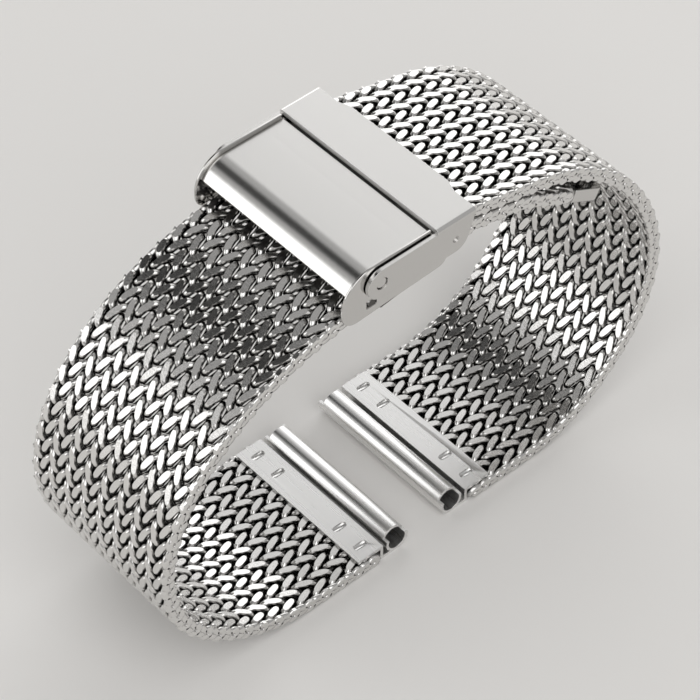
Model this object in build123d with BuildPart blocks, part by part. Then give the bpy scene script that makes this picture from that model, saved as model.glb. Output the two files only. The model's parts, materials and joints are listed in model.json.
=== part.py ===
"""Milanese mesh watch band, closed into a loop and lying on its lug ends.

X runs along the band at the clasp, Y across it and Z up. The origin is on the surface
that the band lies on, below the middle of the loop. All lengths are millimetres.
"""

import os
from math import cos, radians, sin, tan

from build123d import *

os.makedirs("parts", exist_ok=True)

# Mesh band. Each half is a row of sections, each one arc of the bend given, and a straight end.
mesh_width = 22.0
mesh_thickness = 1.7
bend_play = 0.1
row_spacing = 1.175
row_margin = 1.31
groove_width = 0.6
groove_depth = 0.45
long_bends = (15, 20, 23.5, 30, 34, 22, 28)
long_end_length = 9.0
short_bends = (0, 21, 19.5, 18.5, 26, 28, 21.5, 32.5)
short_end_length = 9.05

# Straight run of the long half through the clasp, and the tail tucked under the short half.
run_start_x = -10.8
run_drop = 5.7
run_length = 16.95
run_tilt = 7.5
tail_shares = (0.88, 0.925)
tail_slopes = (13, 28)
layer_gap = 0.1
tip_length = 5.2
tip_inset = 0.2
tip_thickness = 1.6
tip_corner = 1.5

# Clasp body
clasp_height = 48.3
nose_x = -8.2
skin_radius = 3.6
skin_sheet = 0.45
skin_wrap = 63.6
skin_end_x = -0.35
skin_edge = 0.12
rim_rise = 0.5
plate_play = 0.3
plate_sheet = 0.35
plate_depth = 6.0
plate_slope = 2.6
chin_radius = 1.9
heel_radius = 1.2
heel_x = 1.9
hook_sheet = 0.4
hook_gap = 0.15
hook_start_x = -6.9
hook_rise = 0.2

# Bail, the safety bar that swings over the latch
bail_sheet = 0.6
bail_rise = 0.55
bail_length = 5.2
bail_bend = 0.45
bail_gap = 0.15
arm_sheet = 0.45
arm_radius = 1.9
rivet_x = -7.5
rivet_drop = 1.8
rivet_radius = 0.7
rivet_play = 0.05
rivet_recess = 0.1
ear_x = 2.45
ear_drop = 2.15
ear_radius = 1.8
snap_radius = 0.4
snap_height = 0.12
snap_recess = 0.2
lip_reach = 0.55
lip_inset = 4.85
lip_run_out = 1.6
lip_blend = 1.2

# Lock flap under the clasp
flap_gap = 0.1
flap_floor = 0.4
flap_play = 0.05
flap_start_x = -6.75
flap_end_x = -1.0
flap_ear_length = 2.2
flap_boss = 0.7
flap_pin = 0.45
flap_pivot_x = -8.35
flap_pivot_drop = 4.4
flap_slot_length = 1.3
flap_slot_height = 1.05

# Latch at the end of the short half
latch_x = 0.75
latch_radius = 0.65
latch_lift = 0.2
latch_play = 0.1
latch_inset = 0.4
latch_sheet = 0.4
latch_block = 0.8
latch_block_thickness = 1.4
stub_length = 2.0

# Lug ends
lug_inset = 0.45
tube_radius = 1.55
bore_radius = 1.2
tube_reach = 2.45
leaf_sheet = 0.4
leaf_length = 3.3
notch_depth = 0.75
notch_height = 1.05
dent_length = 1.8
dent_width = 0.8
dent_depth = 0.2
dent_insets = (1.75, 5.25)

half_thickness = mesh_thickness / 2
half_width = mesh_width / 2
hollow_radius = half_thickness + bend_play


def step(point, heading, distance):
    """Point at a distance along a heading in degrees, in the XZ plane."""
    return (point[0] + distance * cos(radians(heading)), point[1] + distance * sin(radians(heading)))


def chord_share(bend):
    """Chord of an arc that turns by a bend, as a share of the arc's length."""
    half = radians(bend) / 2
    return sin(half) / half if half else 1


def walk(start, heading, bends, length, turn):
    """Start point and heading of each section in a row, and those of the row's end."""
    places = [(start, heading)]
    for bend in bends:
        point, direction = places[-1]
        point = step(point, direction + turn * bend / 2, length * chord_share(bend))
        places.append((point, direction + turn * bend))
    return places


def section_length(fall, heading, bends, turn):
    """Length of a section, so that the row comes down by the fall."""
    end = walk((0, 0), heading, bends, 1, turn)[-1][0]
    return -fall / end[1]


def face_line(place, bend, length, turn, side, grooves):
    """Points along one face of a section, with a V at each groove between two rows."""
    spots = [(0, half_thickness)]
    for groove in grooves:
        spots.append((groove - groove_width / 2, half_thickness))
        spots.append((groove, half_thickness - groove_depth))
        spots.append((groove + groove_width / 2, half_thickness))
    spots.append((length, half_thickness))
    points = []
    for distance, height in spots:
        middle, heading = walk(place[0], place[1], (bend * distance / length,), distance, turn)[-1]
        points.append(step(middle, heading + side * 90, height))
    return points


def mesh_outline(place, bend, length, turn, round_end, grooves):
    """Closed outline of one section, with a rounded end for the next section to turn on."""
    end, end_heading = walk(place[0], place[1], (bend,), length, turn)[-1]
    left = face_line(place, bend, length, turn, 1, grooves)
    right = face_line(place, bend, length, turn, -1, grooves)
    Polyline(*left)
    Polyline(*right)
    Line(left[0], right[0])
    if round_end:
        ThreePointArc(left[-1], step(end, end_heading, half_thickness), right[-1])
    else:
        Line(left[-1], right[-1])


def write(piece, label):
    """Label a finished piece and write it to its own file."""
    piece.label = label
    export_step(piece, f"parts/{label}.step")


def side_plane(side, inner, outer):
    """Plane from which a piece is extruded toward the near side, side 1, or on the far side."""
    return Plane.XZ.offset(inner if side > 0 else -outer)


sides = {"near": 1, "far": -1}

# Places that the pieces share
run_start = (run_start_x, clasp_height - run_drop)
run_end = step(run_start, run_tilt, run_length)
short_heading = -tail_slopes[0]
short_start = step(run_end, short_heading + 90, mesh_thickness + layer_gap)
stub_start = step(short_start, short_heading, -stub_length)
long_heading = 180 + run_tilt
long_fall = run_start[1] - half_thickness
short_fall = short_start[1] - half_thickness
long_section = section_length(long_fall, long_heading, long_bends, 1)
short_section = section_length(short_fall, short_heading, short_bends, -1)
long_places = walk(run_start, long_heading, long_bends, long_section, 1)
short_places = walk(short_start, short_heading, short_bends, short_section, -1)
long_mesh_end = step(*long_places[-1], long_end_length)
short_mesh_end = step(*short_places[-1], short_end_length)
tail_lengths = [share * short_section for share in tail_shares]
tail_bend = step(run_end, -tail_slopes[0], tail_lengths[0])
tail_end = step(tail_bend, -tail_slopes[1], tail_lengths[1])
nose = (nose_x, clasp_height - skin_radius)
nose_radius = skin_radius + rim_rise
plate_inner = half_width + plate_play
plate_outer = plate_inner + plate_sheet
plate_bottom = clasp_height - plate_depth
chin = (nose_x - nose_radius + chin_radius, plate_bottom + chin_radius)
bail_top = clasp_height + bail_rise
bail_bottom = bail_top - bail_sheet
shoulder_z = bail_bottom - bail_gap
rivet = (rivet_x, clasp_height - rivet_drop)
ear = (ear_x, clasp_height - ear_drop)
arm_inner = plate_outer + bail_gap
arm_outer = arm_inner + arm_sheet
lip_half_width = arm_outer - lip_inset
arm_top = rivet[1] + arm_radius
flap_pivot = (flap_pivot_x, clasp_height - flap_pivot_drop)
flap_ear_inner = half_width + flap_play
flap_ear_outer = plate_inner - flap_play


def run_height(x, offset):
    """Height over X of the line at an offset above the middle of the straight run."""
    return run_start[1] + (x - run_start_x) * tan(radians(run_tilt)) + offset / cos(radians(run_tilt))


deck_under = half_thickness + hook_gap
deck_over = deck_under + hook_sheet
latch_bar = (latch_x, run_height(latch_x, deck_over) + latch_lift + latch_radius)
hook_left = latch_x + latch_radius + latch_play
hook_right = hook_left + hook_sheet

# Side plates, with the rounded nose, the slot of the lock flap's pin and the snap's hole
for name, side in sides.items():
    with BuildPart() as side_plate:
        with BuildSketch(side_plane(side, plate_inner, plate_outer)):
            with BuildLine():
                nose_top = (nose[0], nose[1] + nose_radius)
                nose_back = (nose[0] - nose_radius, nose[1])
                chin_back = (chin[0] - chin_radius, chin[1])
                heel_z = plate_bottom + (heel_x - chin[0]) * tan(radians(plate_slope))
                nose_middle = step(nose, 135, nose_radius)
                ThreePointArc(nose_top, nose_middle, nose_back)
                Line(nose_back, chin_back)
                ThreePointArc(chin_back, step(chin, 225, chin_radius), (chin[0], plate_bottom))
                Line((chin[0], plate_bottom), (heel_x, heel_z))
                Line((heel_x, heel_z), (heel_x, shoulder_z))
                Line((heel_x, shoulder_z), (skin_end_x, shoulder_z))
                Line((skin_end_x, shoulder_z), (skin_end_x, nose_top[1]))
                Line((skin_end_x, nose_top[1]), nose_top)
            outline = make_face()
            fillet(outline.vertices().sort_by_distance((heel_x, heel_z))[0], heel_radius)
            with Locations(ear):
                Circle(ear_radius - bail_gap)
            with Locations(flap_pivot):
                Rectangle(flap_slot_length, flap_slot_height, mode=Mode.SUBTRACT)
            with Locations(rivet):
                Circle(rivet_radius, mode=Mode.SUBTRACT)
            with Locations(ear):
                Circle(snap_radius + rivet_play, mode=Mode.SUBTRACT)
        extrude(amount=plate_sheet)
    write(side_plate.part, f"side_plate_{name}")

# Top skin, flat over the latch and rolled down over the nose
with BuildPart() as top_skin:
    with BuildSketch(Plane.XZ):
        with BuildLine():
            skin_inner = skin_radius - skin_sheet
            turns = (90, 90 + skin_wrap / 2, 90 + skin_wrap)
            outer_arc = [step(nose, turn, skin_radius) for turn in turns]
            inner_arc = [step(nose, turn, skin_inner) for turn in turns]
            top_end = (skin_end_x, clasp_height)
            bottom_end = (skin_end_x, clasp_height - skin_sheet)
            ThreePointArc(*outer_arc)
            ThreePointArc(*inner_arc)
            Line(outer_arc[2], inner_arc[2])
            Polyline(outer_arc[0], top_end, bottom_end, inner_arc[0])
        make_face()
    extrude(amount=plate_inner, both=True)
    chamfer(top_skin.edges().filter_by(Axis.X).group_by(Axis.Z)[-1], skin_edge)
write(top_skin.part, "top_skin")

# Hook plate, the deck over the mesh, turned up at its end to hold the latch bar
with BuildPart() as hook_plate:
    with BuildSketch(Plane.XZ):
        with BuildLine():
            Polyline(
                (hook_start_x, run_height(hook_start_x, deck_under)),
                (hook_right, run_height(hook_right, deck_under)),
                (hook_right, latch_bar[1] + hook_rise),
                (hook_left, latch_bar[1] + hook_rise),
                (hook_left, run_height(hook_left, deck_over)),
                (hook_start_x, run_height(hook_start_x, deck_over)),
                close=True,
            )
        make_face()
    extrude(amount=plate_inner, both=True)
write(hook_plate.part, "hook_plate")

# Rivets on which the bail turns
for name, side in sides.items():
    with BuildPart() as bail_rivet:
        with BuildSketch(side_plane(side, plate_inner, arm_outer - rivet_recess)):
            with Locations(rivet):
                Circle(rivet_radius)
        extrude(amount=arm_outer - rivet_recess - plate_inner)
    write(bail_rivet.part, f"bail_rivet_{name}")

# Bail: one bent sheet, a strip with a fingernail lip between two arms
with BuildPart() as bail:
    with BuildSketch(Plane.XY.offset(bail_bottom)):
        with BuildLine():
            lip_start = lip_half_width + lip_run_out
            Polyline(
                (0, -arm_outer),
                (bail_length, -arm_outer),
                (bail_length, -lip_start),
                (bail_length + lip_reach, -lip_half_width),
                (bail_length + lip_reach, lip_half_width),
                (bail_length, lip_start),
                (bail_length, arm_outer),
                (0, arm_outer),
                close=True,
            )
        strip = make_face()
        lip_corners = strip.vertices().group_by(Axis.X)[1:]
        fillet([v for group in lip_corners for v in group if abs(v.Y) < arm_outer], lip_blend)
    extrude(amount=bail_sheet)
    for side in sides.values():
        with BuildSketch(side_plane(side, arm_inner, arm_outer)):
            with BuildLine():
                CenterArc(rivet, arm_radius, 0, 360)
                CenterArc(ear, ear_radius, 0, 360)
                Line((0, arm_top), (bail_length, arm_top))
            make_hull()
            with Locations(rivet):
                Circle(rivet_radius + rivet_play, mode=Mode.SUBTRACT)
        extrude(amount=arm_sheet)
        with BuildSketch(side_plane(side, arm_inner - snap_height, arm_inner)):
            with Locations(ear):
                Circle(snap_radius)
        extrude(amount=snap_height)
        with BuildSketch(side_plane(side, arm_outer - snap_recess, arm_outer)):
            with Locations(ear):
                Circle(snap_radius)
        extrude(amount=snap_recess, mode=Mode.SUBTRACT)
    fillet(bail.edges().filter_by(Axis.X).group_by(Axis.Z)[-1], bail_bend)
write(bail.part, "bail")

# Lock flap: a floor under the run, and two thin ears with pins in the side plates' slots
with BuildPart() as lock_flap:
    floor_top = half_thickness + flap_gap
    floor_bottom = floor_top + flap_floor
    with BuildSketch(Plane.XZ):
        with BuildLine():
            Polyline(
                (flap_start_x, run_height(flap_start_x, -floor_bottom)),
                (flap_end_x, run_height(flap_end_x, -floor_bottom)),
                (flap_end_x, run_height(flap_end_x, -floor_top)),
                (flap_start_x, run_height(flap_start_x, -floor_top)),
                close=True,
            )
        make_face()
    extrude(amount=flap_ear_outer, both=True)
    for side in sides.values():
        with BuildSketch(side_plane(side, flap_ear_inner, flap_ear_outer)):
            with BuildLine():
                ear_end_x = flap_start_x + flap_ear_length
                CenterArc(flap_pivot, flap_boss, 0, 360)
                Line((flap_start_x, run_height(flap_start_x, -floor_bottom)),
                     (ear_end_x, run_height(ear_end_x, -floor_bottom)))
                Line((ear_end_x, run_height(ear_end_x, -floor_bottom)),
                     (ear_end_x, run_height(ear_end_x, -floor_top)))
            make_hull()
        extrude(amount=flap_ear_outer - flap_ear_inner)
        with BuildSketch(side_plane(side, flap_ear_outer, plate_outer)):
            with Locations(flap_pivot):
                Circle(flap_pin)
        extrude(amount=plate_outer - flap_ear_outer)
write(lock_flap.part, "lock_flap")



def row_gaps(total, start, length, first, last):
    """Distances into a section, from its start in the half, at which two rows meet."""
    reach = total - 2 * row_margin
    spacing = reach / round(reach / row_spacing)
    count = int(reach / spacing)
    gaps = [row_margin + spacing * (number + 1 / 2) - start for number in range(count)]
    return [gap for gap in gaps if first < gap < length - last]


def mesh_section(place, bend, length, turn, round_end, grooves, label):
    """One section of the band, hollowed at its start round the section before it."""
    with BuildPart() as section:
        with BuildSketch(Plane.XZ):
            with BuildLine():
                mesh_outline(place, bend, length, turn, round_end, grooves)
            make_face()
            with Locations(place[0]):
                Circle(hollow_radius, mode=Mode.SUBTRACT)
        extrude(amount=half_width, both=True)
    write(section.part, label)


# The long half's rows are counted from its lug end, and the short half's from its latch
long_total = long_end_length + long_section * len(long_bends) + run_length + sum(tail_lengths)
short_total = stub_length + short_section * len(short_bends) + short_end_length
clear_start = hollow_radius + groove_width
clear_end = groove_width / 2

# Straight run of the long half, rounded at both ends for its neighbours to turn on
with BuildPart() as long_mesh_run:
    with BuildSketch(Plane.XZ):
        with BuildLine():
            long_ring = long_end_length + long_section * len(long_bends)
            run_gaps = row_gaps(long_total, long_ring, run_length, clear_end, clear_end)
            mesh_outline((run_start, run_tilt), 0, run_length, 1, True, run_gaps)
        make_face()
        with Locations(run_start):
            Circle(half_thickness)
    extrude(amount=half_width, both=True)
write(long_mesh_run.part, "long_mesh_run")

# Tail of the long half, under the short half
tail_start = long_ring + run_length
for number, length in enumerate(tail_lengths):
    place = ((run_end, tail_bend)[number], -tail_slopes[number])
    gaps = row_gaps(long_total, tail_start, length, clear_start, clear_end)
    mesh_section(place, 0, length, 1, number == 0, gaps, f"long_mesh_tail_{number + 1}")
    tail_start += length

# Long half from the clasp round the left of the loop to its lug end
for number, bend in enumerate((*long_bends, 0)):
    last = number == len(long_bends)
    length = long_end_length if last else long_section
    to_lug = long_end_length + long_section * (len(long_bends) - number)
    gaps = row_gaps(long_total, to_lug - length, length, leaf_length if last else clear_end, clear_start)
    gaps = [length - gap for gap in reversed(gaps)]
    mesh_section(long_places[number], bend, length, 1, not last, gaps, f"long_mesh_{number + 1}")

# Short half from the latch round the right of the loop to its lug end
for number, bend in enumerate((*short_bends, 0)):
    last = number == len(short_bends)
    length = short_end_length if last else short_section
    start = stub_length + short_section * number
    gaps = row_gaps(short_total, start, length, clear_start, leaf_length if last else clear_end)
    mesh_section(short_places[number], bend, length, -1, not last, gaps, f"short_mesh_{number + 1}")

# Smooth tip on the tail's end
with BuildPart() as tail_tip:
    tip_plane = Plane(
        origin=(tail_end[0], 0, tail_end[1]),
        x_dir=(cos(radians(tail_slopes[1])), 0, -sin(radians(tail_slopes[1]))),
        z_dir=(sin(radians(tail_slopes[1])), 0, cos(radians(tail_slopes[1]))),
    )
    with BuildSketch(tip_plane):
        Rectangle(tip_length, mesh_width - 2 * tip_inset, align=(Align.MIN, Align.CENTER))
    extrude(amount=tip_thickness / 2, both=True)
    tip_edges = tail_tip.edges().filter_by(Axis((0, 0, 0), tip_plane.z_dir))
    fillet(tip_edges.sort_by(Axis.X)[-2:], tip_corner)
write(tail_tip.part, "tail_tip")

# Stub of the short half under the bail, between the latch clip and the first bend
with BuildPart() as short_mesh_stub:
    with BuildSketch(Plane.XZ):
        with BuildLine():
            mesh_outline((stub_start, short_heading), 0, stub_length, 1, True, [])
        make_face()
    extrude(amount=half_width, both=True)
write(short_mesh_stub.part, "short_mesh_stub")

# Latch clip: a block on the mesh's end, a tongue over the hook and the bar that lies in it
with BuildPart() as latch_clip:
    with BuildSketch(Plane.XZ):
        block_end = step(stub_start, short_heading, -latch_block)
        with BuildLine():
            Polyline(
                step(stub_start, short_heading + 90, latch_block_thickness / 2),
                step(block_end, short_heading + 90, latch_block_thickness / 2),
                step(block_end, short_heading - 90, latch_block_thickness / 2),
                step(stub_start, short_heading - 90, latch_block_thickness / 2),
                close=True,
            )
        make_face()
        with BuildLine():
            Polyline(
                (latch_bar[0], latch_bar[1] + latch_radius),
                (latch_bar[0], latch_bar[1] + latch_radius - latch_sheet),
                (block_end[0], block_end[1] - latch_sheet / 2),
                (block_end[0], block_end[1] + latch_sheet / 2),
                close=True,
            )
        make_face()
        with Locations(latch_bar):
            Circle(latch_radius)
    extrude(amount=half_width - latch_inset, both=True)
write(latch_clip.part, "latch_clip")


def lug_end(mesh_end, out, label):
    """Rolled sheet with the spring bar's tube beyond the mesh and a leaf welded on the mesh."""
    tube = (mesh_end[0] + out * tube_reach, tube_radius)
    leg = sorted((mesh_end[0], mesh_end[0] + out * leaf_sheet))
    leaf = sorted((mesh_end[0] - out * leaf_length, mesh_end[0] + out * leaf_sheet))
    base = sorted((mesh_end[0], tube[0]))
    leaf_top = mesh_thickness + leaf_sheet
    with BuildPart() as lug:
        with BuildSketch(Plane.XZ):
            with Locations(tube):
                Circle(tube_radius)
            for low, high, bottom, top in (
                (*base, 0, leaf_sheet),
                (*leg, 0, leaf_top),
                (*leaf, mesh_thickness, leaf_top),
            ):
                with Locations(((low + high) / 2, (bottom + top) / 2)):
                    Rectangle(high - low, top - bottom)
            with Locations(tube):
                Circle(bore_radius, mode=Mode.SUBTRACT)
        extrude(amount=half_width - lug_inset, both=True)
        with BuildSketch(Plane.XY.offset(2 * tube_radius - notch_height)):
            notch_middle = half_width - lug_inset - notch_depth / 2
            with Locations((tube[0], notch_middle), (tube[0], -notch_middle)):
                Rectangle(2 * tube_radius, notch_depth)
        extrude(amount=notch_height, mode=Mode.SUBTRACT)
        with BuildSketch(Plane.XY.offset(leaf_top)):
            dent_x = (leaf[0] + leaf[1]) / 2
            dent_places = [half_width - lug_inset - inset for inset in dent_insets]
            with Locations([(dent_x, sign * place) for place in dent_places for sign in (1, -1)]):
                SlotOverall(dent_length, dent_width)
        extrude(amount=-dent_depth, mode=Mode.SUBTRACT)
    write(lug.part, label)


lug_end(long_mesh_end, 1, "lug_end_long")
lug_end(short_mesh_end, -1, "lug_end_short")
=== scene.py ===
"""Milanese mesh watch band, dressed piece by piece in the order in which the real one is made."""
import json

import bmesh
import bpy
import numpy as np
from mathutils import Matrix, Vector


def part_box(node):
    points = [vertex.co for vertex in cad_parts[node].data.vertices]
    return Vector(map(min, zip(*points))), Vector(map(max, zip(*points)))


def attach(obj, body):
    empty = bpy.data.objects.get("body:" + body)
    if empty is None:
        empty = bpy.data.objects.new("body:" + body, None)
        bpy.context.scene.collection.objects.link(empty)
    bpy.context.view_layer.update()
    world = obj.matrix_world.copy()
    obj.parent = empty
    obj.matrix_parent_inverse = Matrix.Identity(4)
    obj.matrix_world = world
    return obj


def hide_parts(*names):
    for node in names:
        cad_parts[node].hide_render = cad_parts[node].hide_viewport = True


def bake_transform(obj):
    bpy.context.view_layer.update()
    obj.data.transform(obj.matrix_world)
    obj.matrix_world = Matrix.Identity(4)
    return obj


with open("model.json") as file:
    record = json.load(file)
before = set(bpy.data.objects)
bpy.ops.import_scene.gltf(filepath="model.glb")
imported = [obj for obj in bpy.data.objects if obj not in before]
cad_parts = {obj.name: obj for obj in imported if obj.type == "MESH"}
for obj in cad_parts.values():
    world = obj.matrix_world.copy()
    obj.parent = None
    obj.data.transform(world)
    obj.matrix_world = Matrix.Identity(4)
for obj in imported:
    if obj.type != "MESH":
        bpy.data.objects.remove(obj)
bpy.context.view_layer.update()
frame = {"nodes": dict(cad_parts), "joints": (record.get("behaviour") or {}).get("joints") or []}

# ---------------------------------------------------------------------------
# Mesh cloth. Both halves are woven from flattened coils of round stainless wire, one coil
# to a row across the band and wound left and right in turn. The cloth is rolled thin, and
# its faces and edges are ground, so each strand shows a bright flat with a round rim.
# ---------------------------------------------------------------------------
MM = 0.001                # the band's sizes are written in mm, and meshes are in metres

wire_radius = 0.42
coil_reach = 1.16         # from the coil's middle to the wire's, along the band
coil_rise = 0.67          # the same, up to the band's face
loop_spacing = 2.69       # from one loop of a coil to its next, across the band
loop_shift = 0.25         # sets the loops off from the band's middle
ground_height = 0.85      # half the cloth's thickness
ground_side = 11.0        # half its width
edge_start = 10.3         # where the wire starts to slow down at the band's edge
edge_room = 0.5           # how far it goes from there
edge_turn = 13.1          # where it would be by its end, at an even pace
edge_close = 0.62         # how much less it reaches there
edge_sink = 0.18          # how much less it rises
edge_step = 0.16          # how much less again in the coils of one hand
ring_turns = (0, 20, 33, 40, 48, 60, 75, 90, 105, 120, 132, 140, 147, 160)    # degrees
ring_sides = 9
least_flat = 0.2          # radians from a flat's middle to its border, where none is ground
level_from, level_over = 0.35, 0.25    # shares of the rise in which a flat turns level
# Painted shade: the wire's colour is dark deep in the cloth, where shade falls between the
# strands, and bright towards its faces and edges.
shaded_height = 0.25      # the wire is dark up to this height above the cloth's middle
unshaded_height = 0.80       # and bright from this one

# Colours of the wire: painted shade deep in the cloth, and the steel's own colour.
wire_painted_shade = (0.035, 0.034, 0.033)
wire_bright = (0.73, 0.72, 0.705)
strand_lean = 0.04        # how far the flats of the strands lean apart, as a slope
strand_spread = 57.0      # spreads the strands' tags over the noise
wire_roughness, wire_wear = 0.14, 0.14     # the least, and what wear adds to it
wire_grain_depth = 0.010
noise_roughness = 0.6     # how much fine grain each noise has over its coarse grain


class Signal:
    """A shader socket on which Python's operators add Math nodes."""

    def __init__(self, finish, socket):
        self.finish, self.socket = finish, socket

    def maths(self, operation, other):
        node = self.finish.node("ShaderNodeMath", {"operation": operation}, {0: self, 1: other})
        return node.out()

    def __add__(self, other):
        return self.maths("ADD", other)

    def __sub__(self, other):
        return self.maths("SUBTRACT", other)

    def __rsub__(self, other):
        return (self * -1) + other

    def __mul__(self, other):
        return self.maths("MULTIPLY", other)

    __radd__ = __add__
    __rmul__ = __mul__


class Node:
    """A node that was added to a finish, with its outputs by name or number."""

    def __init__(self, finish, node):
        self.finish, self.node = finish, node

    def out(self, name=0):
        return Signal(self.finish, self.node.outputs[name])


class Finish:
    """One finish: a Principled material and the nodes that vary it."""

    def __init__(self, name, color, metallic=1.0):
        self.material = bpy.data.materials.new(name)
        self.material.use_nodes = True
        self.tree = self.material.node_tree
        self.principled = self.tree.nodes["Principled BSDF"]
        self.surface("Base Color", (*color, 1))
        self.surface("Metallic", metallic)

    def plug(self, socket, value):
        """Give a socket a link or a plain value."""
        if isinstance(value, Signal):
            self.tree.links.new(value.socket, socket)
        else:
            socket.default_value = value

    def node(self, kind, settings=None, values=None):
        """Add a node: its settings first, and then the values or links of its sockets."""
        node = self.tree.nodes.new(kind)
        for name, value in (settings or {}).items():
            setattr(node, name, value)
        for name, value in (values or {}).items():
            self.plug(node.inputs[name], value)
        return Node(self, node)

    def surface(self, name, value):
        """Feed one of the Principled sockets."""
        self.plug(self.principled.inputs[name], value)

    def attribute(self, name):
        """Number that the mesh carries at each of its points."""
        return self.node("ShaderNodeAttribute", {"attribute_name": name}).out("Fac")

    def tinted(self, share, color, other):
        """Base Color that goes from one colour to another as a share goes from 0 to 1.
        The Mix node's colours are its sockets 6 and 7, and their mix is its output 2."""
        self.surface("Base Color", self.node("ShaderNodeMix", {"data_type": "RGBA"}, {
            0: share, 6: (*color, 1), 7: (*other, 1)}).out(2))

    def stretched(self, scale):
        """Object coordinates, scaled per axis, so that a grain can run one way."""
        place = self.node("ShaderNodeTexCoord").out("Object")
        return self.node("ShaderNodeMapping", None, {"Vector": place, "Scale": scale}).out()

    def grain(self, scale, detail, stretch=(1, 1, 1)):
        """Noise between 0 and 1, in cycles to the metre."""
        return self.node("ShaderNodeTexNoise", None, {
            "Vector": self.stretched(stretch), "Scale": scale, "Detail": detail,
            "Roughness": noise_roughness}).out("Fac")

    def relief(self, height, depth, normal=None):
        """Bump of a depth in mm, over the surface or over another bump's normal."""
        values = {"Height": height, "Distance": depth * MM, "Strength": 1.0}
        if normal is not None:
            values["Normal"] = normal
        return self.node("ShaderNodeBump", None, values).out()


wire = Finish("ground steel wire", wire_bright)
scatter = wire.node("ShaderNodeTexWhiteNoise", {"noise_dimensions": "1D"}, {
    "W": wire.attribute("strand") * strand_spread}).out("Color")
lean = wire.node("ShaderNodeVectorMath", {"operation": "MULTIPLY_ADD"}, {
    0: scatter, 1: (strand_lean,) * 3, 2: (-strand_lean / 2,) * 3}).out()
upright = wire.node("ShaderNodeNewGeometry").out("Normal")
leaning = wire.node("ShaderNodeVectorMath", {"operation": "ADD"}, {0: upright, 1: lean}).out()
leaning = wire.node("ShaderNodeVectorMath", {"operation": "NORMALIZE"}, {0: leaning}).out()
wire.surface("Normal", wire.relief(wire.grain(scale=2600, detail=3.0), wire_grain_depth, leaning))
wire.surface("Roughness", wire_roughness + wire_wear * wire.grain(scale=1500, detail=4.0))
# Painted shade: the wire's colour goes from dark deep in the cloth to the steel's own at its
# faces and edges.
wire.tinted(wire.attribute("open"), wire_painted_shade, wire_bright)


def smooth(share):
    """Eased share: three times its square less twice its cube."""
    return share * share * (3 - 2 * share)


def coil(hand):
    """Points of one flattened coil, by ring along the wire and by side round it, in mm.

    The wire's middle goes round an ellipse of half-axes reach and rise while it moves
    evenly across the band. At the band's edge it slows to a stop and its ellipse closes
    in, a little lower on the rows of one hand than on the others. Each ring is a
    circle round the wire, cut off by the ground face, so its first two points are the
    borders of the flat. Also returns where the flats are and how open each point lies,
    from 0 deep in the cloth to 1 at its faces and edges. That share is painted shade:
    the wire is coloured dark deep in the cloth, where shade falls between the strands."""
    turns = int(edge_turn / loop_spacing) + 1
    half_turns = np.arange(-2 * turns, 2 * turns)[:, None] * np.pi
    angle = (half_turns + np.radians(ring_turns)).ravel()
    across = loop_spacing / (2 * np.pi) * angle + loop_shift
    angle, across = angle[np.abs(across) < edge_turn], across[np.abs(across) < edge_turn]
    over = np.maximum(np.abs(across) - edge_start, 0)
    eased = 1 - np.exp(-over / edge_room)
    slowed = np.where(over > 0, edge_start + edge_room * eased, np.abs(across))
    reach = coil_reach - edge_close * eased
    rise = coil_rise - (edge_sink + (edge_step if hand < 0 else 0)) * eased
    middle = np.stack([reach * np.cos(angle), np.sign(across) * slowed,
                       -hand * rise * np.sin(angle)], 1)

    along = np.gradient(middle, angle, axis=0)
    outward = np.stack([coil_rise * np.cos(angle), 0 * angle,
                        -hand * coil_reach * np.sin(angle)], 1)
    along /= np.linalg.norm(along, axis=1)[:, None]
    outward /= np.linalg.norm(outward, axis=1)[:, None]
    outward -= (outward * along).sum(1)[:, None] * along
    outward /= np.linalg.norm(outward, axis=1)[:, None]
    sideways = np.cross(along, outward)

    face = np.sign(middle[:, 2]) + (middle[:, 2] == 0)
    lift = np.hypot(outward[:, 2], sideways[:, 2])
    skew = np.arctan2(face * sideways[:, 2], face * outward[:, 2])
    height = np.abs(middle[:, 2])
    skew *= smooth(np.clip((height / coil_rise - level_from) / level_over, 0, 1))
    opening = np.arccos(np.clip((ground_height - height) / (wire_radius * lift), -1, 1))
    half_flat = np.maximum(opening, least_flat)[:, None]
    share = np.arange(1, ring_sides - 1) / (ring_sides - 1)
    turn = np.concatenate([-half_flat, half_flat,
                           half_flat + (2 * np.pi - 2 * half_flat) * share], 1)
    turn += skew[:, None]
    points = middle[:, None] + wire_radius * (np.cos(turn)[..., None] * outward[:, None]
                                              + np.sin(turn)[..., None] * sideways[:, None])
    points[..., 1] = np.clip(points[..., 1], -ground_side, ground_side)
    points[..., 2] = np.clip(points[..., 2], -ground_height, ground_height)
    # Share of painted shade: 0 deep in the cloth, where the wire is coloured dark, to 1 at its
    # faces and edges.
    level = np.maximum(np.abs(points[..., 2]),
                       np.abs(points[..., 1]) - ground_side + ground_height)
    clear = np.clip((level - shaded_height) / (unshaded_height - shaded_height), 0, 1)
    return points, opening > least_flat, smooth(clear)


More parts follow.
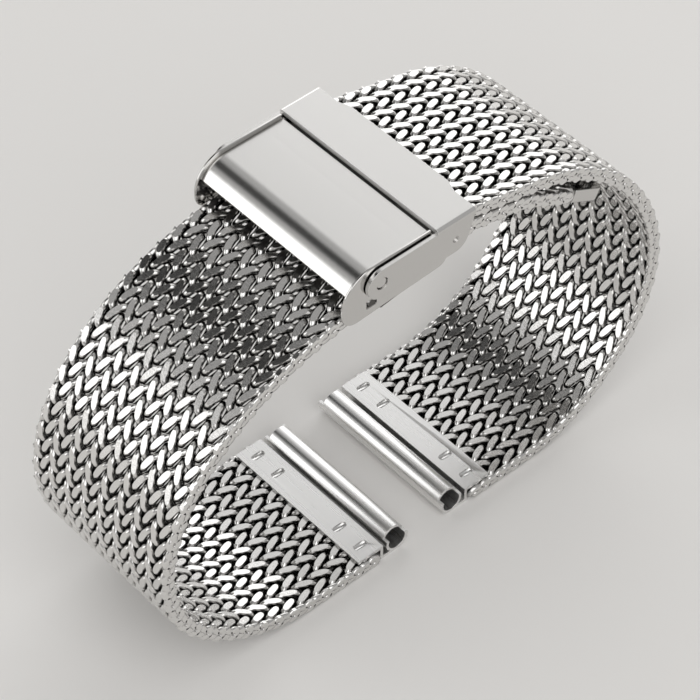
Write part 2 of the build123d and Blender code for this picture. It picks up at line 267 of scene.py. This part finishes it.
def woven_rows(name, middles, tangents, normals, hands, seed):
    """Mesh of several rows of the weave. Each row is one coil at its place on the band's
    line: the coil's reach lies along the tangent and its rise along the normal."""
    coils = {hand: coil(hand) for hand in (1, -1)}
    shape, flat, clear = (np.stack([coils[hand][part] for hand in hands]) for part in range(3))
    rows, rings, sides = shape.shape[:3]
    in_plane = (middles[:, None, None] + shape[..., :1] * tangents[:, None, None]
                + shape[..., 2:] * normals[:, None, None])
    points = np.stack([in_plane[..., 0], shape[..., 1], in_plane[..., 1]], -1) * MM
    number = np.arange(rows * rings * sides).reshape(rows, rings, sides)
    beside = np.roll(number, -1, axis=2)
    quads = np.stack([number[:, :-1], beside[:, :-1], beside[:, 1:], number[:, 1:]], -1)
    cut_ends = number[:, 0, ::-1].tolist() + number[:, -1].tolist()
    mesh = bpy.data.meshes.new(name)
    mesh.from_pydata(points.reshape(-1, 3).tolist(), [],
                     quads.reshape(-1, 4).tolist() + cut_ends)
    mesh.shade_smooth()

    # Edges are sharp along both borders of each flat and across its two ends.
    edges = np.zeros(len(mesh.edges) * 2, np.int32)
    mesh.edges.foreach_get("vertices", edges)
    edges = edges.reshape(-1, 2)
    border = np.repeat(flat[:, :, None], sides, 2)
    border[:, :, 2:] = False
    flat_ends = border.copy()
    flat_ends[:, 1:-1] &= ~(flat[:, :-2] & flat[:, 2:])[:, :, None]
    lengthwise = edges[:, 0] % sides == edges[:, 1] % sides
    sharp = np.where(lengthwise, border.ravel()[edges].all(1), flat_ends.ravel()[edges].all(1))
    mesh.attributes.new("sharp_edge", "BOOLEAN", "EDGE").data.foreach_set("value", sharp)

    # Each strand, which is half a turn of the wire, has a random tag of its own.
    strand = np.arange(rings) // len(ring_turns)
    tags = np.random.default_rng(seed).random((rows, strand.max() + 1))[:, strand]
    # The second attribute carries the coil's share of painted shade.
    for title, values in (("strand", np.repeat(tags[:, :, None], sides, 2)), ("open", clear)):
        layer = mesh.attributes.new(title, "FLOAT", "POINT")
        layer.data.foreach_set("value", values.astype(np.float32).ravel())
    mesh.materials.append(wire.material)
    piece = bpy.data.objects.new(name, mesh)
    bpy.context.scene.collection.objects.link(piece)
    return piece


# ---------------------------------------------------------------------------
# Long half. One length of the mesh from its lug end round the left of the loop and
# straight through the clasp, with its end left free as a tail under the short half.
# ---------------------------------------------------------------------------
row_spacing = 1.175       # from one coil to the next, along the band
row_margin = 1.31         # from the middle of a half's last coil to the half's end
arc_steps = 60            # points of the line from one hinge to the next
bend_window = 1.5         # a kink in the band's line is eased this far to each side
bend_samples = 13         # by the mean of this many points
tangent_reach = 0.1       # to each side of a place, for its tangent
line_overrun = 40         # in steps of the line, so that its ends can be eased as well
tail_slope = np.radians(28)
tail_length = 8.36        # of the tail's last piece


def track(points, heading):
    """Fine line through the hinge points: from each point to the next, the one arc that
    starts in the direction of the last. Returns the line and its length at each point."""
    share = np.linspace(0, 1, arc_steps)
    arcs, marks, total = [], [0.0], 0.0
    for start, end in zip(points[:-1], points[1:]):
        gap = end - start
        bend = (np.arctan2(gap[1], gap[0]) - heading + np.pi) % (2 * np.pi) - np.pi
        length = np.hypot(*gap) / np.sinc(bend / np.pi)
        chord = length * share * np.sinc(bend * share / np.pi)
        arcs.append(start + chord[:, None] * np.stack([np.cos(heading + bend * share),
                                                       np.sin(heading + bend * share)], 1))
        heading += 2 * bend
        total += length
        marks.append(total)
    return np.concatenate([arc[:-1] for arc in arcs] + [arcs[-1][-1:]]), np.array(marks)


def places_on(line, spots):
    """Middle, tangent and outward normal at distances along a line. A middle is the mean of
    the line over a short window, the tangent is the difference of two middles close by,
    and the normal is the tangent turned by a right angle."""
    first = line[0] + line_overrun * (line[0] - line[1])
    last = line[-1] + line_overrun * (line[-1] - line[-2])
    line = np.concatenate([[first], line, [last]])
    lengths = np.concatenate([[0], np.cumsum(np.hypot(*np.diff(line, axis=0).T))])
    lengths -= lengths[1]

    def eased(spots):
        window = spots[:, None] + np.linspace(-bend_window, bend_window, bend_samples)
        return np.stack([np.interp(window, lengths, line[:, axis]).mean(1)
                         for axis in (0, 1)], 1)

    ahead = eased(spots + tangent_reach) - eased(spots - tangent_reach)
    ahead /= np.linalg.norm(ahead, axis=1)[:, None]
    return eased(spots), ahead, np.stack([-ahead[:, 1], ahead[:, 0]], 1)


def weave_half(line, length, pieces, cuts, seed):
    """Lay the rows of one half along its line, cut it into pieces, and fix each piece that
    rides on a single body to it.

    Each piece comes with the body that it rides on, or with two bodies and their places
    on the line, between which it lies; such a piece only keeps its place, fixed to neither."""
    count = int(round((length - 2 * row_margin) / row_spacing)) + 1
    spots = np.linspace(row_margin, length - row_margin, count)
    middles, tangents, normals = places_on(line, spots)
    hands = 1 - 2 * (np.arange(count) % 2)
    owner = np.searchsorted(cuts, spots, side="right")
    for number, (node, held) in enumerate(pieces):
        own = owner == number
        piece = woven_rows(node.replace("_mesh", "_weave"), middles[own], tangents[own],
                           normals[own], hands[own], seed + number)
        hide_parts(node)
        if isinstance(held, str):
            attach(piece, held)
        else:
            body, place, next_body, next_place = held
            ends, _, _ = places_on(line, np.array([place, next_place]))
            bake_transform(piece)


def heading_of(start, end):
    """Direction from one point of the band's line to another, in radians."""
    return np.arctan2(*(end - start)[::-1])


def lug_place(node, side):
    """End of the band's line at a lug end, on the right or left (side 1 or -1) of the node's
    CAD box, and half the cloth up."""
    low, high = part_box(node)
    return np.array([(high if side > 0 else low)[0] / MM, ground_height])


hinges = {joint["name"]: np.array(joint["pos_m"])[[0, 2]] / MM
          for joint in frame["joints"] if "pos_m" in joint}

long_bends = [hinges[f"long_bend_{n}"] for n in range(1, 9)]
run_end, tail_bend = hinges["tail_bend_1"], hinges["tail_bend_2"]
tail_end = tail_bend + tail_length * np.array([np.cos(tail_slope), -np.sin(tail_slope)])
loop, loop_marks = track(np.array(long_bends + [lug_place("long_mesh_8", 1)]),
                         heading_of(long_bends[0], run_end) + np.pi)
long_line = np.concatenate([loop[::-1], [run_end, tail_bend, tail_end]])
straights = np.diff([long_bends[0], run_end, tail_bend, tail_end], axis=0)
long_marks = np.concatenate([loop_marks[-1] - loop_marks[::-1],
                             loop_marks[-1] + np.cumsum(np.hypot(*straights.T))])
long_middles = (long_marks[:-1] + long_marks[1:]) / 2
long_pieces = [(f"long_mesh_{n}", (f"long_{n - 1}", long_middles[9 - n],
                                   f"long_{n}", long_middles[8 - n])) for n in range(8, 1, -1)]
long_pieces += [("long_mesh_1", ("long_run", long_marks[8], "long_1", long_middles[7])),
                ("long_mesh_run", "long_run"),
                ("long_mesh_tail_1", ("long_run", long_marks[9], "tail_1", long_middles[9])),
                ("long_mesh_tail_2", ("tail_1", long_middles[9], "tail_2", long_middles[10]))]
long_cuts = [*long_middles[1:8], long_marks[8], long_marks[9], long_middles[9]]
weave_half(long_line, long_marks[-1], long_pieces, long_cuts, seed=10)

# ---------------------------------------------------------------------------
# Short half. One length of the same mesh, held in the latch by a short stub, and from
# there over the tail and round the right of the loop to the other lug end.
# ---------------------------------------------------------------------------
stub_length = 2.0
short_bends = [hinges[f"short_bend_{n}"] for n in range(1, 10)]
heading = heading_of(run_end, tail_bend)
stub_start = short_bends[0] - stub_length * np.array([np.cos(heading), np.sin(heading)])
short_line, short_marks = track(
    np.array([stub_start] + short_bends + [lug_place("short_mesh_9", -1)]), heading)
short_middles = (short_marks[:-1] + short_marks[1:]) / 2
short_pieces = [("short_mesh_stub", "latch"),
                ("short_mesh_1", ("latch", short_marks[1], "short_1", short_middles[1]))]
short_pieces += [(f"short_mesh_{n}", (f"short_{n - 1}", short_middles[n - 1],
                                      f"short_{n}", short_middles[n])) for n in range(2, 10)]
short_cuts = [short_marks[1], *short_middles[1:9]]
weave_half(short_line, short_marks[-1], short_pieces, short_cuts, seed=40)

# ---------------------------------------------------------------------------
# Lug ends. Each is one strip of satin steel, rolled into a tube for the spring bar and
# folded back as a leaf that is spot-welded on the mesh, with four pressed dents.
# ---------------------------------------------------------------------------
lug_color = (0.80, 0.795, 0.785)
lug_rounds = 0.12
lug_roughness, lug_brushing = 0.20, 0.16
lug_brush_depth = 0.010
leaf_middle = 1.45        # from the end of the mesh to the row of dents
dent_places = (8.8, 5.3)  # from the band's middle, on both sides of it
dent_reach, dent_half_width, dent_depth = 0.9, 0.4, 0.2
merge_gap = 1e-6          # metres within which two corners are one
flat_angle = 0.01         # radians within which two triangles make one face
crease_angle = np.radians(30)       # from which an edge is shaded sharp
corner_angle = np.radians(35)       # from which an edge gets a round


def eased_copy(node, width, finish, body):
    """Piece with a CAD node's shape and small rounds of a width in mm along its edges."""
    mesh = frame["nodes"][node].data.copy()
    shape = bmesh.new()
    shape.from_mesh(mesh)
    bmesh.ops.remove_doubles(shape, verts=shape.verts, dist=merge_gap)
    bmesh.ops.dissolve_limit(shape, angle_limit=flat_angle, verts=shape.verts,
                             edges=shape.edges)
    bmesh.ops.recalc_face_normals(shape, faces=shape.faces)
    shape.to_mesh(mesh)
    shape.free()
    mesh.materials.clear()
    mesh.materials.append(finish.material)
    mesh.shade_smooth()
    mesh.set_sharp_from_angle(angle=crease_angle)
    piece = bpy.data.objects.new(node + "_finished", mesh)
    bpy.context.scene.collection.objects.link(piece)
    rounds = piece.modifiers.new("rounds", "BEVEL")
    rounds.width = width * MM
    rounds.segments = 2
    rounds.limit_method = "ANGLE"
    rounds.angle_limit = corner_angle
    rounds.harden_normals = True
    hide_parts(node)
    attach(piece, body)


def dished(finish, leaf_place):
    """Depth of the dents from 0 to 1: in each, one less the squares of the distances from
    its middle, as shares of its reach and half width."""
    place = finish.node("ShaderNodeSeparateXYZ", None, {0: finish.stretched((1 / MM,) * 3)})
    along = (place.out("X") - leaf_place) * (1 / dent_reach)
    across = finish.node("ShaderNodeMath", {"operation": "ABSOLUTE"}, {0: place.out("Y")}).out()
    depth = 0.0
    for dent_place in dent_places:
        beside = (across - dent_place) * (1 / dent_half_width)
        bowl = 1 - (along * along + beside * beside)
        depth = finish.node("ShaderNodeMath", {"operation": "MAXIMUM"},
                            {0: bowl, 1: depth}).out()
    return depth


for end, mesh_node, side, body in (("lug_end_long", "long_mesh_8", 1, "long_8"),
                                   ("lug_end_short", "short_mesh_9", -1, "short_9")):
    lug_steel = Finish(f"satin steel of {end}", lug_color)
    leaf_place = float(lug_place(mesh_node, side)[0] - side * leaf_middle)
    pressed = lug_steel.relief(1 - dished(lug_steel, leaf_place), dent_depth)
    brushed = lug_steel.grain(scale=60, detail=4.0, stretch=(26, 1, 26))
    lug_steel.surface("Roughness", lug_roughness + lug_brushing * brushed)
    lug_steel.surface("Normal", lug_steel.relief(brushed, lug_brush_depth, pressed))
    eased_copy(end, lug_rounds, lug_steel, body)

# ---------------------------------------------------------------------------
# Tail tip. A smooth steel plate welded over the cut end of the long half's tail, so that
# no wire ends catch on the clasp when the strap is passed through it.
# ---------------------------------------------------------------------------
polish_color = (0.60, 0.59, 0.575)
polish_roughness, polish_hairlines = 0.10, 0.09
polish_depth = 0.003
tip_rounds = 0.15

polish = Finish("polished clasp steel", polish_color)
hairline = polish.grain(scale=45, detail=4.0, stretch=(30, 1, 30))
polish.surface("Roughness", polish_roughness + polish_hairlines * hairline)
polish.surface("Normal", polish.relief(hairline, polish_depth))
eased_copy("tail_tip", tip_rounds, polish, "tail_2")

# ---------------------------------------------------------------------------
# Clasp body. Two stamped and polished side plates, a brushed skin that is rolled over the
# nose between them, and a satin deck over the mesh with its end turned up as the hook.
# ---------------------------------------------------------------------------
plate_rounds, skin_rounds, deck_rounds = 0.14, 0.10, 0.06
brushed_color = (0.77, 0.76, 0.745)
brushed_roughness, brushed_hairlines = 0.19, 0.08
brushed_depth = 0.004
satin_color = (0.66, 0.65, 0.635)
satin_roughness, satin_scuffs = 0.26, 0.20
satin_depth = 0.008
# Colour of painted shade on satin faces turned to a side of the band, as in the side plates'
# slots.
painted_shade_color = (0.10, 0.095, 0.09)
facing_from, facing_to = 0.7, 0.95    # square of the normal's part along an axis


def facing(finish, axis):
    """Share from 0 to 1 by which a surface faces along one axis of the band."""
    normal = finish.node("ShaderNodeTexCoord").out("Normal")
    part = finish.node("ShaderNodeSeparateXYZ", None, {0: normal}).out(axis)
    return finish.node("ShaderNodeMapRange", None, {
        "Value": part * part, "From Min": facing_from, "From Max": facing_to}).out()


def brushed_steel(name, edge_roughness):
    """Finely brushed finish. Where the surface faces a side of the band it is polished and
    less pale, and where it faces along the band it is rougher, as a cut edge is."""
    steel = Finish(name, brushed_color)
    hairline = steel.grain(scale=45, detail=5.0, stretch=(40, 1, 40))
    steel.surface("Roughness", brushed_roughness + brushed_hairlines * hairline
                  + edge_roughness * facing(steel, "X"))
    steel.surface("Normal", steel.relief(hairline, brushed_depth))
    steel.tinted(facing(steel, "Y"), brushed_color, polish_color)
    return steel


for side in ("near", "far"):
    eased_copy(f"side_plate_{side}", plate_rounds, polish, "slider")
skin_steel = brushed_steel("brushed skin steel", edge_roughness=0.0)
eased_copy("top_skin", skin_rounds, skin_steel, "slider")

satin = Finish("satin inner steel", satin_color)
scuff = satin.grain(scale=900, detail=4.0)
satin.surface("Roughness", satin_roughness + satin_scuffs * scuff)
satin.surface("Normal", satin.relief(scuff, satin_depth))
# Painted shade: satin faces turned to a side of the band are coloured nearly black, standing in
# for the shade in the slots and between the side plates.
satin.tinted(facing(satin, "Y"), satin_color, painted_shade_color)
eased_copy("hook_plate", deck_rounds, satin, "slider")

# ---------------------------------------------------------------------------
# Lock flap. A pressed satin steel floor under the mesh with two ears, turning on pins in
# the side plates' slots. Shut, it grips the mesh, and open, it lets the clasp slide.
# ---------------------------------------------------------------------------
flap_rounds = 0.05
eased_copy("lock_flap", flap_rounds, satin, "lock_flap")

# ---------------------------------------------------------------------------
# Bail. One brushed steel strip, bent down at both ends into arms that turn on a flush
# polished rivet in each side plate. It swings down over the latch and snaps shut.
# ---------------------------------------------------------------------------
rivet_rounds, bail_rounds = 0.20, 0.16
for side in ("near", "far"):
    eased_copy(f"bail_rivet_{side}", rivet_rounds, polish, "slider")
bail_steel = brushed_steel("brushed bail steel", edge_roughness=0.35)
eased_copy("bail", bail_rounds, bail_steel, "bail")

# ---------------------------------------------------------------------------
# Latch. A pressed satin steel clip, closed on the short half's end, whose tongue carries
# the bar that hooks behind the deck's turned-up end.
# ---------------------------------------------------------------------------
latch_rounds = 0.06
eased_copy("latch_clip", latch_rounds, satin, "latch")

# ---------------------------------------------------------------------------
# Floor. The band stands on a plain pale floor without an edge. Seen by the camera and in
# the metal, the floor glows further out, so that it runs on evenly to the horizon.
# ---------------------------------------------------------------------------
floor_half = 6.0          # in metres, as all sizes of the floor and the lights
floor_drop = 0.00002      # keeps the floor out of the faces that stand on it
floor_color, floor_roughness = (0.80, 0.785, 0.765), 0.75
glow_color = (0.665, 0.652, 0.636)
glow_from, glow_full = 0.12, 0.7    # from the middle of the floor

floor_mesh = bpy.data.meshes.new("floor")
floor_mesh.from_pydata([(-floor_half, -floor_half, 0), (floor_half, -floor_half, 0),
                        (floor_half, floor_half, 0), (-floor_half, floor_half, 0)],
                       [], [(0, 1, 2, 3)])
floor = bpy.data.objects.new("floor", floor_mesh)
bpy.context.scene.collection.objects.link(floor)
floor.location.z = -floor_drop
pale = Finish("pale floor", floor_color, metallic=0.0)
pale.surface("Roughness", floor_roughness)
path = pale.node("ShaderNodeLightPath")
seen = path.out("Is Camera Ray") + path.out("Is Glossy Ray") + path.out("Is Transmission Ray")
away = pale.node("ShaderNodeVectorMath", {"operation": "LENGTH"},
                 {0: pale.node("ShaderNodeTexCoord").out("Object")}).out("Value")
fade = pale.node("ShaderNodeMapRange", {"interpolation_type": "SMOOTHSTEP"},
                 {"Value": away, "From Min": glow_from, "From Max": glow_full}).out()
glow = pale.node("ShaderNodeEmission", None, {"Color": (*glow_color, 1)}).out()
both = pale.node("ShaderNodeMixShader", None, {
    0: fade * seen, 1: Signal(pale, pale.principled.outputs[0]), 2: glow}).out()
pale.plug(pale.tree.nodes["Material Output"].inputs["Surface"], both)
floor_mesh.materials.append(pale.material)

# ---------------------------------------------------------------------------
# Studio light. Four softboxes hang round the band, and a black card stands between two of
# them, so that the metal shows pale and dark bands. The room round them is an even grey.
# ---------------------------------------------------------------------------
room_grey = (0.42, 0.418, 0.414)
card_black, card_roughness = (0.01, 0.01, 0.01), 0.9
band_middle = np.array([0.0, 0.0, 0.035])


def hung(direction, distance):
    """Middle and axes of a panel that faces the band, its long side over the band's width."""
    back = np.array(direction, float)
    back /= np.linalg.norm(back)
    side = np.array([0.0, 1.0, 0.0]) - back[1] * back
    side /= np.linalg.norm(side)
    return band_middle + back * distance, side, np.cross(back, side), back


def placed(data, name, axes, centre):
    """Object whose own axes are the given three, at a place."""
    held = bpy.data.objects.new(name, data)
    bpy.context.scene.collection.objects.link(held)
    rows = [[*turned, place] for turned, place in zip(np.stack(axes, 1), centre)]
    held.matrix_world = Matrix(rows + [[0, 0, 0, 1]])
    return held


def softbox(name, direction, distance, length, height, radiance):
    """Area light of a given radiance, facing the band from a direction."""
    lamp = bpy.data.lights.new(name, "AREA")
    lamp.shape = "RECTANGLE"
    lamp.size, lamp.size_y = length, height
    lamp.energy = radiance * np.pi * length * height
    centre, *axes = hung(direction, distance)
    placed(lamp, name, axes, centre).visible_camera = False


def card(name, direction, distance, length, height):
    """Black card that only the metal's reflections see."""
    centre, side, rise, _ = hung(direction, distance)
    corners = [centre + side * x * length / 2 + rise * y * height / 2
               for x, y in ((-1, -1), (1, -1), (1, 1), (-1, 1))]
    black = Finish("black card", card_black, metallic=0.0)
    black.surface("Roughness", card_roughness)
    mesh = bpy.data.meshes.new(name)
    mesh.from_pydata([tuple(corner) for corner in corners], [], [(0, 1, 2, 3)])
    mesh.materials.append(black.material)
    held = bpy.data.objects.new(name, mesh)
    bpy.context.scene.collection.objects.link(held)
    held.visible_camera = held.visible_diffuse = False
    held.visible_shadow = held.visible_transmission = False


softbox("right softbox", (0.77, 0.51, 0.34), 0.6, length=0.85, height=0.44, radiance=1.3)
softbox("left softbox", (-0.80, 0.51, 0.30), 0.6, length=0.45, height=0.38, radiance=1.35)
softbox("top softbox", (0.45, 0.51, 0.73), 0.6, length=0.45, height=0.16, radiance=0.42)
softbox("front softbox", (-0.30, -0.60, 0.74), 0.8, length=1.0, height=0.8, radiance=1.3)
card("upper flag", (-0.225, 0.51, 0.83), 0.5, length=0.5, height=0.185)

world = bpy.data.worlds.new("studio")
bpy.context.scene.world = world
world.use_nodes = True
world.node_tree.nodes["Background"].inputs["Color"].default_value = (*room_grey, 1)
world.node_tree.nodes["Background"].inputs["Strength"].default_value = 1.0

# ---------------------------------------------------------------------------
# Camera. It looks down on the band from the front left, where the photo was taken from.
# Its angles, zoom and aim were fitted to points of the band in the photo.
# ---------------------------------------------------------------------------
camera_turn, camera_height, camera_roll = -0.722752254, 0.820185446, -0.00063591
camera_distance = 300.0
pixels_per_mm = 9.77260214                # at that distance
aim = np.array([0.4, 0.0, 48.3])          # point of the band that is seen at aim_pixel
aim_pixel = (360.3335, 170.6004)
picture_size = 700                        # pixels
film_size = 36.0

back = np.array([np.sin(camera_turn) * np.cos(camera_height),
                 -np.cos(camera_turn) * np.cos(camera_height), np.sin(camera_height)])
right = np.array([np.cos(camera_turn), np.sin(camera_turn), 0.0])
up = np.cross(back, right)
right, up = (np.cos(camera_roll) * right + np.sin(camera_roll) * up,
             -np.sin(camera_roll) * right + np.cos(camera_roll) * up)
aim_right = (aim_pixel[0] - picture_size / 2) / pixels_per_mm
aim_up = -(aim_pixel[1] - picture_size / 2) / pixels_per_mm
eye = (camera_distance * back - aim_right * right - aim_up * up + aim) * MM
lens = bpy.data.cameras.new("camera")
lens.sensor_width = film_size
lens.lens = pixels_per_mm * camera_distance / picture_size * film_size
lens.clip_start, lens.clip_end = 0.01, 10.0
bpy.context.scene.camera = placed(lens, "camera", (right, up, back), eye)
bpy.context.scene.view_settings.view_transform = "Standard"
